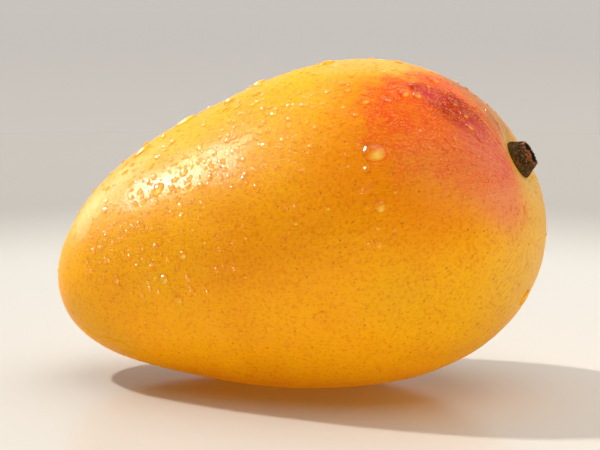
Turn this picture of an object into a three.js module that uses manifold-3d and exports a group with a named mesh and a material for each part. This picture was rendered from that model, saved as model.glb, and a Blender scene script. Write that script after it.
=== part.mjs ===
// A ripe mango lying on its belly, with the woody stub of its stem.
// Millimetres, +Z up. +X points to the stem end and +Z to the fruit's back.
// The origin is the centre of the small flat spot that the fruit rests on.

import * as THREE from 'three';
import { ParametricGeometry } from 'three/addons/geometries/ParametricGeometry.js';
import { mergeVertices } from 'three/addons/utils/BufferGeometryUtils.js';
import Module from 'manifold-3d';

const wasm = await Module();
wasm.setup();

// ---- Driving dimensions, in millimetres and degrees ----

// Side view of the fruit: the outline's radius from the heart, every 30 degrees from +X
// towards +Z. The blunt beak at the apex swells out of that curve.
const OUTLINE_RADII = [59.4, 54.8, 46.3, 38.4, 35.8, 42.0, 53.8, 53.5, 44.6, 40.6, 44.2, 53.8];
const BEAK = { swell: 9.3, angle: 200.8, width: 22.5 };

// The heart, from the middle of the resting spot. The belly would reach 1 mm below that
// spot if it were not flattened there.
const HEART = new THREE.Vector3(1.6, 0, 39.6);

// Each section across the fruit is an ellipse: side to side over back to belly.
const SECTION_RATIO = 0.9;

// Outline angles where the back's line and the belly's line meet.
const STEM_POLE = 18.5;
const APEX_POLE = 192;

// The stem stands a little to one side, in a shallow basin of the skin.
const STEM_FOOT = new THREE.Vector3(52.4, -3.9, 17.4); // from the heart, on the basin's floor
const STEM_RISE = 29.6;
const STEM_TURN = -8.3;
const BASIN = { depth: 2, radius: 7, reach: 20 };

// The stub: radius and height of its profile, the height along the stem from the basin's
// floor. It has a root in the flesh, a flared collar, bark that tapers to the snapped end,
// a sunk ring and the pith.
const STUB_PROFILE = [
  [0, -3.2],
  [2.9, -3.2],
  [4.2, -1.5],
  [4.6, 0.2],
  [4.5, 0.7],
  [4.05, 1.3],
  [3.6, 2.3],
  [3.25, 3.1],
  [3.1, 3.5],
  [2.7, 3.6],
  [2.3, 3.1],
  [1.3, 3.0],
  [0.8, 3.3],
  [0, 3.4],
];
const BARK_RIDGES = { count: 5, height: 0.12, starts: 0.7 };
const SOCKET_GAP = 0.3;

// Facets: round the fruit, from stem to apex, and round the stub.
const FRUIT_SIDES = 88;
const FRUIT_SECTIONS = 46;
const STUB_SIDES = 30;

// ---- Helpers ----

const radians = THREE.MathUtils.degToRad;

const STEM_AXIS = new THREE.Vector3(
  Math.cos(radians(STEM_RISE)) * Math.cos(radians(STEM_TURN)),
  Math.cos(radians(STEM_RISE)) * Math.sin(radians(STEM_TURN)),
  Math.sin(radians(STEM_RISE)),
);

/** The closed solid of a geometry: shared corners merged and collapsed facets dropped. */
function solid(geometry) {
  geometry.deleteAttribute('normal');
  geometry.deleteAttribute('uv');
  const merged = mergeVertices(geometry, 1e-4);
  const corners = merged.index.array;
  const facets = [];
  for (let i = 0; i < corners.length; i += 3) {
    const [a, b, c] = corners.slice(i, i + 3);
    if (a !== b && b !== c && c !== a) facets.push(a, b, c);
  }
  return new wasm.Manifold(new wasm.Mesh({
    numProp: 3,
    vertProperties: new Float32Array(merged.attributes.position.array),
    triVerts: new Uint32Array(facets),
  }));
}

/** The geometry of a solid. */
function geometryOf(body) {
  const mesh = body.getMesh();
  const geometry = new THREE.BufferGeometry();
  geometry.setAttribute('position', new THREE.BufferAttribute(mesh.vertProperties, 3));
  geometry.setIndex(new THREE.BufferAttribute(mesh.triVerts, 1));
  geometry.computeVertexNormals();
  return geometry;
}

// ---- The fruit ----

/**
 * The outline's radius at an angle: the trigonometric curve through OUTLINE_RADII, with the
 * beak added as a bell-shaped swelling.
 */
function outlineRadius(angle) {
  const count = OUTLINE_RADII.length;
  const curve = OUTLINE_RADII.reduce((sum, radius, k) => {
    const away = angle - (2 * Math.PI * k) / count;
    const half = Math.tan(away / 2);
    const weight = Math.abs(half) < 1e-9 ? 1 : Math.sin((count * away) / 2) / (count * half);
    return sum + radius * weight;
  }, 0);
  const beak = angle - radians(BEAK.angle);
  const offBeak = Math.atan2(Math.sin(beak), Math.cos(beak));
  return curve + BEAK.swell * Math.exp(-((offBeak / radians(BEAK.width)) ** 2));
}

/** A point of the outline, in the fruit's middle plane. */
function outlinePoint(angle) {
  const radius = outlineRadius(angle);
  return new THREE.Vector3(radius * Math.cos(angle), 0, radius * Math.sin(angle));
}

/**
 * The skin: round a section with `around`, and from the stem to the apex with `along`.
 * A section is an ellipse that stands on the line from the belly to the back, and the
 * basin sinks the skin along the stem by a bell of the distance from the stem's axis.
 */
function skin(around, along, target) {
  const share = (1 - Math.cos(Math.PI * along)) / 2;
  const overBack = radians(APEX_POLE - STEM_POLE);
  const back = outlinePoint(radians(STEM_POLE) + overBack * share);
  const belly = outlinePoint(radians(STEM_POLE) - (2 * Math.PI - overBack) * share);
  const middle = back.clone().add(belly).multiplyScalar(0.5);
  const half = back.clone().sub(belly).multiplyScalar(0.5);
  const turn = 2 * Math.PI * around;
  const side = SECTION_RATIO * half.length() * Math.sin(turn);
  target.copy(middle).addScaledVector(half, Math.cos(turn)).setY(side);

  const fromFoot = target.clone().sub(STEM_FOOT);
  const height = fromFoot.dot(STEM_AXIS);
  if (height > -BASIN.reach) {
    const offAxis = fromFoot.addScaledVector(STEM_AXIS, -height).length();
    target.addScaledVector(STEM_AXIS, -BASIN.depth * Math.exp(-((offAxis / BASIN.radius) ** 2)));
  }
  target.add(HEART);
}

/** The stub's turned form, in its own frame along +Y, grown all over by `gap`. */
function stubGeometry(gap) {
  const outline = STUB_PROFILE.map(([radius, height], i) => {
    const wall = radius > 0 ? radius + gap : 0;
    const end = i < 2 ? -gap : gap;
    return new THREE.Vector2(wall, height + end);
  });
  const geometry = new THREE.LatheGeometry(outline, STUB_SIDES);
  const corner = new THREE.Vector3();
  const corners = geometry.attributes.position;
  for (let i = 0; i < corners.count; i += 1) {
    corner.fromBufferAttribute(corners, i);
    const rise = THREE.MathUtils.clamp((corner.y - BARK_RIDGES.starts) / 2, 0, 1);
    const across = Math.hypot(corner.x, corner.z);
    const ridge = BARK_RIDGES.height * rise * Math.sin(BARK_RIDGES.count * Math.atan2(corner.z, corner.x));
    const swell = across > 2 ? 1 + ridge / across : 1;
    corners.setXYZ(i, corner.x * swell, corner.y, corner.z * swell);
  }
  return geometry;
}

const stemTurn = new THREE.Quaternion().setFromUnitVectors(new THREE.Vector3(0, 1, 0), STEM_AXIS);
const stemPlace = HEART.clone().add(STEM_FOOT);

/** The whole fruit: its skin, flattened on the resting spot and open for the stub's root. */
function fruitGeometry() {
  const grown = solid(new ParametricGeometry(skin, FRUIT_SIDES, FRUIT_SECTIONS));
  const under = new THREE.BoxGeometry(200, 200, 60);
  under.translate(0, 0, -30);
  const socket = stubGeometry(SOCKET_GAP);
  socket.applyQuaternion(stemTurn);
  socket.translate(stemPlace.x, stemPlace.y, stemPlace.z);
  return geometryOf(grown.subtract(solid(under)).subtract(solid(socket)));
}

const fruit = new THREE.Mesh(
  fruitGeometry(),
  new THREE.MeshStandardMaterial({ color: 0xf3a51c, roughness: 0.35, metalness: 0 }),
);
fruit.name = 'mango_fruit';

// ---- The stem's stub ----

const stub = new THREE.Mesh(
  geometryOf(solid(stubGeometry(0))),
  new THREE.MeshStandardMaterial({ color: 0x4a3118, roughness: 0.85, metalness: 0 }),
);
stub.name = 'stem_stub';
stub.position.copy(stemPlace);
stub.quaternion.copy(stemTurn);

const mango = new THREE.Group();
mango.add(fruit, stub);

export default mango;
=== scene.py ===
"""A ripe mango that lies on its belly, with the woody stub of its stem and water drops on its skin.

Lengths inside the functions are millimetres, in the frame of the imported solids: +Z up, +X to the
stem end, the origin in the middle of the spot that the fruit rests on. Meshes go out in metres.
"""

from functools import partial

import bpy
import numpy as np
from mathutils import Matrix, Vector


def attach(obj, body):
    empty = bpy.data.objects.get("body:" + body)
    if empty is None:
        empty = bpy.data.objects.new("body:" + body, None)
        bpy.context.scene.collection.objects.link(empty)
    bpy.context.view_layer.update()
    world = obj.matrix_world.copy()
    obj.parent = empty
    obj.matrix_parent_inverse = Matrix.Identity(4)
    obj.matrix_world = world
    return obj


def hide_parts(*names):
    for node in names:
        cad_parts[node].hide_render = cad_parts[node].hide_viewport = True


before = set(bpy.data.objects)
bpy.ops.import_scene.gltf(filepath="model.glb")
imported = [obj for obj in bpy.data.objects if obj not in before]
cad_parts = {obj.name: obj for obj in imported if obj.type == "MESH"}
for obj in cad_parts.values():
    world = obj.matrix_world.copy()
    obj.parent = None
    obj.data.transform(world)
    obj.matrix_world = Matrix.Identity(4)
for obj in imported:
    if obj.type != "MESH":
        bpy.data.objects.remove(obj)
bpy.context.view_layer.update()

bl_info = {
    "name": "Ripe mango",
    "version": (1, 0, 0),
    "blender": (4, 5, 0),
    "location": "View3D > Sidebar > Mango",
    "description": "Builds a ripe mango with its stem's stub and water drops",
    "category": "Object",
}

MM = 0.001  # metres in a millimetre
ROOT = "root"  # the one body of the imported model

# ---- Shape of the fruit, as its solid has it, in millimetres and degrees ----

# Side view: the outline's radius from the heart, every 30 degrees from +X towards +Z. The blunt
# beak at the apex swells out of that curve.
OUTLINE_RADII = np.array(
    [59.4, 54.8, 46.3, 38.4, 35.8, 42.0, 53.8, 53.5, 44.6, 40.6, 44.2, 53.8]
)
BEAK_SWELL, BEAK_ANGLE, BEAK_WIDTH = 9.3, 200.8, 22.5
HEART = np.array([1.6, 0.0, 39.6])
SECTION_RATIO = 0.9
STEM_POLE, APEX_POLE = 18.5, 192.0
STEM_FOOT = np.array([52.4, -3.9, 17.4])  # from the heart
STEM_RISE, STEM_TURN = 29.6, -8.3
BASIN_DEPTH, BASIN_RADIUS, BASIN_REACH = 2.0, 7.0, 20.0

# ---- What the fine skin adds to it ----

SECTIONS, SIDES = 300, 320  # facets from stem to apex, and round
SOCKET_DEPTH, SOCKET_RADIUS = 0.9, 6.0  # of the skin drawn in round the stub
DAPPLE_WAVES, DAPPLE_SEED = (9, 11, 13, 16, 19, 23, 29), 3
CREASE_RADIUS = 0.9
RIDGE_SHARE, RIDGE_RADIUS, RIDGE_DROP = 0.5, 1.0, 1.3  # of the low ridge under the crease
GRAIN_RADIUS = 36.0  # of the roller that the skin's grain is laid out on
LIME_FROM, LIME_REACH = 4.8, 2.4  # of the yellow-green that rings the stem
COMBED_SHARE, COMBED_REACH = 0.55, 15  # of the strands round it
STEM_END_FROM = -20  # no such tint this far from the stem's foot towards the apex

# ---- The stub, in millimetres ----

# Radius and height of its profile. The height is along the stem, from the basin's floor.
STUB_PROFILE = np.array(
    [
        [0, -3.2], [2.9, -3.2], [4.2, -1.5], [4.6, 0.2], [4.5, 0.7], [4.05, 1.3], [3.6, 2.3],
        [3.25, 3.1], [3.1, 3.5], [2.7, 3.6], [2.3, 3.1], [1.3, 3.0], [0.8, 3.3], [0, 3.4],
    ]
)  # fmt: skip
BARK_RIDGES, BARK_RIDGE_HEIGHT, BARK_RIDGE_START, BARK_RIDGE_RUN = 5, 0.12, 0.7, 2
BARK_START, BARK_RUN = -0.2, 0.8  # heights over which the bark's unevenness sets in
FLARE_END, FLARE_RUN, FLARE_START = 3.3, 3.0, -1.5  # heights of the flare at the foot
RIM_RADIUS, SWELL_RADIUS = 2.0, 2.0  # inside them the ridges stop, and all swelling fades
LEAST_RADIUS, CRUMB_RADIUS = 0.02, 3.6  # of the innermost ring, and of the crumbs that lift
TOP_START, TOP_RUN = 2.6, 0.3  # heights over which the torn end's colours set in
COLLAR_HEIGHT, COLLAR_FADE = 0.3, 0.7  # of the ochre foot
EDGE_RADIUS, EDGE_WIDTH = 3.05, 0.22  # of the pale torn rim
RING_RADIUS, RING_FADE, PITH_RADIUS, PITH_FADE = 2.75, 0.35, 1.3, 0.4  # of the snapped end
STUB_STEPS, STUB_SIDES = 110, 120  # facets along the profile, and round
STUB_SOFTENING = np.array([1, 2, 3, 2, 1]) / 9  # running mean that rounds the profile's corners
LUMP_WAVES, LUMP_SEED, LUMP_SHARE = (0.7, 0.8, 1.0, 1.3, 1.7, 2.2, 3.0), 5, 1.5
LUMP_SQUEEZE = (1, 0.35, 1)  # lumps are drawn out along the stem
CRUMB_WAVES, CRUMB_SEED, CRUMB_LIFT = (0.5, 0.6, 0.7, 0.9, 1.1), 11, 1.3
STUB_GRAIN_RADIUS = 4.0  # of the roller that the bark's grain is laid out on
STUB_MASKS = ("foot", "edge", "ring", "pith")

# ---- Drops and pores, in millimetres ----

SKIN_CURVE = 60.0  # radius of the skin that the drops bend to
LARGE_FACETS, FINE_FACETS, PORE_FACETS = (9, 28), (3, 10), (3, 12)  # rim to top, and round
RIM_STRAYS = (0.05, 0.035)  # of an oval rim, twice and three times round
DOME_POWER = 0.8  # under 1, a dome is fuller than half a ball
# A larger drop's height over its half width, for a small and a wide one, and how it varies.
SMALL_RISE, WIDE_RISE, WIDE_FROM, LARGE_VARIES = 0.78, 0.5, 1.5, (0.85, 1.1)
# A fine drop's half width: the usual one, the spread of its logarithm, and its limits.
FINE_HALF, FINE_SPREAD, FINE_LIMITS = 0.31, 0.45, (0.15, 0.9)
FINE_RISES, FINE_RATIOS, FINE_SUNK = (0.55, 0.75), (1.0, 1.35), 0.05
PORE_VARIES, PORE_RATIO, PORE_RISE, PORE_SUNK = (0.8, 1.25), 1.15, 0.05, 0.04
THIN_FALL, THIN_FALL_TILT = 0.22, 0.1  # of fine drops, wherever the skin faces the sky
DRY_ROWS = 12  # of the skin's facets round the stem, with no fine drops
# Painted light and shade under a drop, laid into the skin's colour: bells of (strength, how far
# from the middle away from the sun, reach), in half sizes of the drop. A painted pool of light
# brightens it; painted shade dims it towards the sun, and a painted shadow lies where it is cast.
DROP_BELLS = ((0.75, 0.35, 0.6), (-1.0, -0.8, 0.5), (-0.6, 1.25, 0.4))
DROP_BELLS_END = 2.2  # half lengths from the middle

# ---- Where the camera stands ----

CAMERA_TURN, CAMERA_RISE = 10.0, 9.0  # degrees from -Y towards +X, and above the level
CAMERA_DISTANCE = 411.0
CAMERA_LENS, CAMERA_SENSOR = 100.0, 36.0
CAMERA_SLIDE = (-0.74, -0.25)  # right and up from the heart, to the middle of the picture
CAMERA_CLIP = (0.01, 20)  # metres
PICTURE = (600, 450)  # pixels across and down, that the places below are counted in
NEAR_SIDE = 0.02  # least cosine between the skin's normal and the view on the near side
OPEN_VIEW = 0.2  # cosine over which a place is set to its exact pixel

# ---- Places on the skin ----

# How strongly each colour is laid on, and where. A place is (across, down, reach): a pixel of the
# picture, and how far the colour spreads in mm.
SKIN_COLOURS = {
    "blush": (1.0, (
        (448, 98, 9), (415, 92, 7), (386, 98, 6), (470, 116, 9), (478, 140, 9), (496, 152, 7),
        (440, 82, 6), (400, 131, 8), (436, 138, 7), (464, 163, 7),
    )),
    "crimson": (1.0, (
        (418, 88, 3), (437, 97, 3), (448, 103, 4), (458, 110, 5), (466, 120, 4.5),
        (475, 130, 3.5),
    )),
    "pink": (0.75, (
        (478, 138, 5), (487, 147, 5), (494, 158, 4.5), (432, 95, 3), (500, 168, 4),
    )),
    "tan": (0.8, ((454, 82, 4), (470, 89, 4.5), (482, 102, 5), (496, 120, 5), (508, 138, 3))),
    "rose": (1.0, ((482, 156, 7), (494, 174, 7), (504, 192, 6), (512, 208, 5))),
    "straw": (1.0, (
        # pale yellow by the stem, made paler down the right edge by a painted sheen
        (534, 200, 8), (538, 232, 9), (532, 262, 9), (516, 292, 9), (524, 180, 6),
        # painted sheen along the top edge
        (335, 67, 4), (360, 64, 4.5), (385, 65, 4.5), (408, 70, 4),
    )),
    "orange": (0.65, (
        (364, 98, 8), (384, 128, 8), (362, 168, 9), (404, 160, 8), (424, 194, 8), (452, 208, 9),
    )),
    "salmon": (0.33, ((422, 152, 5), (442, 166, 7), (464, 160, 7), (482, 170, 6))),
    # partly the skin's own tone, partly painted core shade: a deeper orange band where the sun's
    # light turns away from the cheek
    "rust": (0.8, (
        (420, 170, 14), (380, 190, 13), (330, 215, 13), (280, 235, 12), (230, 250, 11),
        (350, 160, 10),
    )),
    "olive": (0.55, (
        # dull green by the crease at the apex
        (84, 322, 7), (100, 336, 7), (116, 342, 6), (124, 347, 4),
        # painted shade: a duller tint that darkens the right front low down
        (452, 314, 12), (402, 302, 8), (484, 326, 10), (506, 288, 7),
    )),
}  # fmt: skip
# Where a colour goes on round the far side: (x, y, z, reach).
FAR_SIDE = {
    "blush": ((34, 16, 70, 14), (20, 24, 68, 12)),
    "rose": ((50, 14, 60, 10),),
    "straw": ((56, 12, 40, 12),),
}
FILL_RATE = 1.3  # how soon bells that overlap give the full colour
GRAIN_ENDS = ((524, 186), (62, 265))  # where the fibres run together
CREASE_PLACES = (
    (88, 330), (94, 333), (101, 335.5), (108, 337), (114, 339), (120, 341.5), (126, 346),
)  # fmt: skip

# How thickly the fine drops lie: (across, down, reach in mm, weight).
MIST_PLACES = (
    (160, 190, 13, 0.8), (215, 160, 12, 0.8), (110, 240, 11, 0.8), (150, 260, 12, 0.5),
    (130, 205, 11, 0.7), (185, 160, 11, 0.8), (245, 135, 11, 0.8),
    (270, 120, 12, 0.55), (340, 90, 11, 0.5), (400, 105, 10, 0.5), (440, 140, 9, 0.35),
    (180, 290, 11, 0.3), (260, 180, 12, 0.3), (470, 170, 8, 0.3), (350, 170, 12, 0.16),
)  # fmt: skip

# The larger drops: (across, down, width in pixels, length over width, lean in degrees).
LARGE_DROPS = (
    (158.4, 189.6, 11.5, 1.45, 58), (184, 173, 9, 1.1, 60), (189.7, 178, 7, 1.1, 60),
    (174, 180, 6.5, 1.2, 60), (178, 189.6, 6, 1.2, 60), (154.4, 177.3, 6.5, 1.15, 55),
    (140, 192, 6.5, 1.15, 60), (144, 202, 6.5, 1.15, 60), (189.7, 187.3, 5, 1.0, 0),
    (157.6, 202.5, 5, 1.0, 0), (166.7, 201.7, 5, 1.1, 0), (180, 206.5, 7, 1.1, 20),
    (214.7, 153.4, 6, 1.15, 40), (204.6, 161.5, 5, 1.2, 60), (211.8, 166.4, 5, 1.1, 60),
    (219.6, 161.5, 4, 1.1, 60), (219.6, 167.8, 4.5, 1.1, 50), (201, 202, 5, 1.0, 0),
    (193, 200.5, 5, 1.0, 0), (200, 148.5, 6.5, 1.2, 60), (233.5, 152, 5.5, 1.2, 60),
    (243, 159, 6, 1.1, 60), (230, 136, 7, 1.2, 30), (264.7, 146, 8, 1.5, 10),
    (274, 113.6, 7, 1.2, 20), (270, 108, 5, 1.2, 20), (263, 111, 5, 1.0, 0),
    (289, 125.8, 7, 1.2, 20), (305.3, 105, 7, 1.4, 10), (295.5, 152.7, 5, 1.1, 0),
    (330, 128, 5, 1.1, 0), (345, 153, 5, 1.1, 0), (347, 166.5, 5, 1.0, 0), (347, 91, 6, 1.3, 0),
    (364, 102, 10, 1.5, 0), (374.6, 152.7, 21, 1.25, -25), (380, 206.8, 13, 1.08, 90),
    (395.3, 192.4, 7, 1.0, 0), (370.4, 186.2, 6, 1.0, 0), (366.6, 205.4, 5, 1.1, 0),
    (327.8, 208.7, 6, 1.1, 0), (295.8, 223, 6, 1.1, 90), (377.6, 228.3, 5, 1.1, 0),
    (394.4, 230.7, 5, 1.1, 0), (378.6, 244.6, 8, 1.0, 0), (283.8, 238.9, 4, 1.0, 0),
    (464.6, 196.7, 5, 1.0, 0), (456.5, 191, 4.5, 1.0, 0), (442, 183.8, 4.5, 1.0, 0),
    (450.2, 211, 4.5, 1.0, 0), (404, 94, 11, 1.2, -10), (417, 96, 10, 1.2, -10),
    (433.6, 81.4, 6.5, 2.0, -15), (427, 87.5, 6, 1.5, -15), (453.8, 103.6, 8, 1.3, -30),
    (464.5, 115.4, 8, 1.3, -35), (443.5, 92.8, 6, 1.2, -30), (454.6, 138.8, 7, 1.0, 0),
    (421.7, 131.5, 5, 1.0, 0), (404.9, 141.8, 5, 1.0, 0), (429.3, 146.8, 5, 1.0, 0),
    (389, 101, 7, 1.2, 0), (441, 158, 6, 1.0, 0), (483, 158, 5, 1.0, 0), (478, 156, 4.5, 1.0, 0),
    (468, 173.5, 5, 1.0, 0), (469.5, 127, 9, 1.4, -30), (88, 261, 5, 1.5, 80),
    (91.6, 271.6, 4.5, 1.2, 80), (99.7, 278.8, 4, 1.5, 80), (109, 260.6, 4.5, 1.1, 80),
    (117.4, 280, 6.5, 1.15, 90), (139, 285.5, 4.5, 1.1, 90), (150, 289.3, 5, 1.4, 90),
    (153.3, 263, 5, 1.5, 90), (161.4, 254, 4, 1.2, 90), (183.4, 254.8, 9, 1.3, 90),
    (164.8, 279.2, 9, 1.3, 90), (188.2, 279.2, 6, 1.4, 90), (179, 299.3, 9, 1.0, 90),
    (195.4, 294, 5, 1.0, 90), (207.4, 291.7, 4, 1.0, 90), (145.2, 322.3, 4, 1.2, 90),
    (158, 292, 5, 1.0, 90), (220, 250, 6, 1.1, 90), (217, 270, 6, 1.1, 90),
    (234, 269, 5, 1.1, 90), (245, 277, 5, 1.1, 90), (269.4, 294, 6, 1.1, 90),
    (246, 238, 5, 1.1, 90), (205, 243, 4.5, 1.1, 90), (104.7, 210, 6, 1.5, 60),
    (138, 225, 6, 1.6, 60), (120.4, 236.7, 4.5, 1.2, 60), (90, 235.6, 4.5, 1.2, 60),
    (524, 297, 8, 2.2, 62), (186, 121, 14, 1.7, 20), (142, 151, 13, 1.7, 32),
    (259, 82, 9, 1.6, 22), (327, 64, 9, 1.8, 8), (230, 102, 9, 1.5, 22),
)  # fmt: skip

# The clearest of the skin's pores: (across, down).
PORES = (
    (355, 184.6), (419, 191.6), (332.4, 217), (334, 234.8), (352.7, 222), (340, 240.5), (327, 248),
    (345.7, 247.3), (340.3, 252.4), (393.4, 234.4), (401.5, 223.5), (408, 283), (281, 246),
    (474.6, 233), (483.7, 231), (517.5, 214), (468, 229.8), (446.6, 268), (451, 293.4),
    (429, 295.3), (424, 301), (440, 311), (365, 325), (405, 331), (432, 356), (344, 368),
    (402, 314), (380, 370), (406.8, 74.3), (434.5, 115), (383, 143.5),
)  # fmt: skip

# Where the light comes from: the sun, the window that glints in the wax, and the bright side of
# the room.
SUN_TOWARDS = (-0.588, 0.13, 0.80)
UPPER_PANE_TOWARDS = (-0.725, -0.035, 0.69)
LOWER_PANE_TOWARDS = (-0.82, -0.14, 0.55)
GLOW_TOWARDS = (-0.84, 0.43, 0.33)
SKY_TOWARDS = (-0.55, 0.0, 0.83)
FLOOR_SKY_TOWARDS = (0.15, 0.08, 0.96)
DROP_SKY_TOWARDS = (0.35, -0.35, 0.87)
HAZE_TOWARDS = (0.86, 0.25, 0.42)
FILL_TOWARDS = (0.74, -0.52, 0.42)
BOUNCE_TOWARDS = (-0.3, -0.6, -0.75)
THROUGH_LEFT_TOWARDS = (-0.85, -0.4, -0.35)
THROUGH_RIGHT_TOWARDS = (0.93, -0.3, -0.22)
BRIGHT_TOWARDS = (-0.31, 0.91, 0.27)
FLOOR_HALF = 14.0  # metres


def linear(code):
    """The linear colour of an sRGB hex code: each channel undone by the sRGB curve."""
    channels = np.array([int(code[i : i + 2], 16) / 255 for i in (0, 2, 4)])
    low, high = channels / 12.92, ((channels + 0.055) / 1.055) ** 2.4
    return tuple(float(c) for c in np.where(channels <= 0.04045, low, high))


def colour(name, code, about):
    """A colour setting whose default is an sRGB hex code."""
    return bpy.props.FloatVectorProperty(
        name=name, description=about, default=linear(code), subtype="COLOR", size=3, min=0, max=1
    )


def length(name, millimetres, about):
    """A length setting, kept in metres."""
    return bpy.props.FloatProperty(
        name=name, description=about, default=millimetres * MM, min=0, unit="LENGTH", precision=6
    )


def power(name, watts, about):
    """A lamp's power setting, or a brightness."""
    return bpy.props.FloatProperty(name=name, description=about, default=watts, min=0)


# ---- Surfaces ----


def unit(vectors):
    """The vectors at length one."""
    return vectors / np.maximum(np.linalg.norm(vectors, axis=-1, keepdims=True), 1e-9)


def bell(distance, reach):
    """A bell that is one at no distance and 1/e at the reach."""
    return np.exp(-((distance / reach) ** 2))


def outline_point(degrees):
    """Points of the side outline, from the heart: the trigonometric curve through OUTLINE_RADII,
    plus a bell for the beak, as a radius at each angle."""
    angle = np.radians(degrees)
    count = len(OUTLINE_RADII)
    away = angle[..., None] - 2 * np.pi * np.arange(count) / count
    half = np.tan(away / 2)
    near = np.abs(half) < 1e-9
    weight = np.sin(count * away / 2) / (count * np.where(near, 1, half))
    curve = (np.where(near, 1, weight) * OUTLINE_RADII).sum(-1)
    off = (degrees - BEAK_ANGLE + 180) % 360 - 180
    radius = curve + BEAK_SWELL * bell(off, BEAK_WIDTH)
    return np.stack([radius * np.cos(angle), 0 * angle, radius * np.sin(angle)], -1)


def stem_axis():
    """The direction in which the stem leaves the fruit."""
    rise, turn = np.radians(STEM_RISE), np.radians(STEM_TURN)
    return np.array([np.cos(rise) * np.cos(turn), np.cos(rise) * np.sin(turn), np.sin(rise)])


def sink_basin(points):
    """Sinks points, from the heart, along the stem by two bells of their distance from its axis:
    the wide basin, and the narrow socket of the stub."""
    axis = stem_axis()
    away = points - STEM_FOOT
    height = away @ axis
    across = np.linalg.norm(away - height[..., None] * axis, axis=-1)
    depth = BASIN_DEPTH * bell(across, BASIN_RADIUS) + SOCKET_DEPTH * bell(across, SOCKET_RADIUS)
    return points - (depth * (height > -BASIN_REACH))[..., None] * axis


def skin_points(share, turn):
    """The skin at a share of the way from stem to apex and a turn round the section, in radians.
    A section is an ellipse that stands on the line from the belly's outline to the back's."""
    over_back = APEX_POLE - STEM_POLE
    back = outline_point(STEM_POLE + over_back * share)
    belly = outline_point(STEM_POLE - (360 - over_back) * share)
    middle, half = (back + belly) / 2, (back - belly) / 2
    points = middle + half * np.cos(turn)[..., None]
    points[..., 1] = SECTION_RATIO * np.linalg.norm(half, axis=-1) * np.sin(turn)
    return sink_basin(points) + HEART


def waves(points, lengths, seed):
    """A gentle uneven height from -1 to 1: the mean of plane waves that run in seeded directions,
    one for each wavelength."""
    rng = np.random.default_rng(seed)
    height = np.zeros(points.shape[:-1])
    for wave in lengths:
        direction = unit(rng.normal(size=3))
        height += np.sin(points @ direction * 2 * np.pi / wave + rng.uniform(0, 2 * np.pi))
    return height / len(lengths)


def facing(points):
    """Outward unit normals of a grid (from stem to apex, round), by the cross product of its
    neighbours' differences."""
    round_way = np.roll(points, -1, 1) - np.roll(points, 1, 1)
    along = np.gradient(points, axis=0)
    normals = unit(np.cross(along, round_way))
    outwards = np.sign(((points - HEART) * normals).sum(-1, keepdims=True))
    return normals * np.where(outwards == 0, 1, outwards)


class Camera:
    """The camera's place and directions, and where it sees points of the part's frame."""

    def __init__(self):
        turn, rise = np.radians(CAMERA_TURN), np.radians(CAMERA_RISE)
        self.towards = np.array(
            [np.sin(turn) * np.cos(rise), -np.cos(turn) * np.cos(rise), np.sin(rise)]
        )
        self.right = unit(np.cross(-self.towards, [0, 0, 1]))
        self.up = np.cross(self.right, -self.towards)
        aim = HEART + CAMERA_SLIDE[0] * self.right + CAMERA_SLIDE[1] * self.up
        self.place = aim + CAMERA_DISTANCE * self.towards
        self.pixels = CAMERA_LENS / CAMERA_SENSOR * PICTURE[0]

    def sees(self, points):
        """Pixels across and down."""
        away = points - self.place
        depth = -(away @ self.towards)
        across = PICTURE[0] / 2 + self.pixels * (away @ self.right) / depth
        down = PICTURE[1] / 2 - self.pixels * (away @ self.up) / depth
        return np.stack([across, down], -1)

    def ray(self, across, down):
        """The direction from the camera through a pixel."""
        return unit(
            self.right * (across - PICTURE[0] / 2)
            - self.up * (down - PICTURE[1] / 2)
            - self.towards * self.pixels
        )


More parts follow.
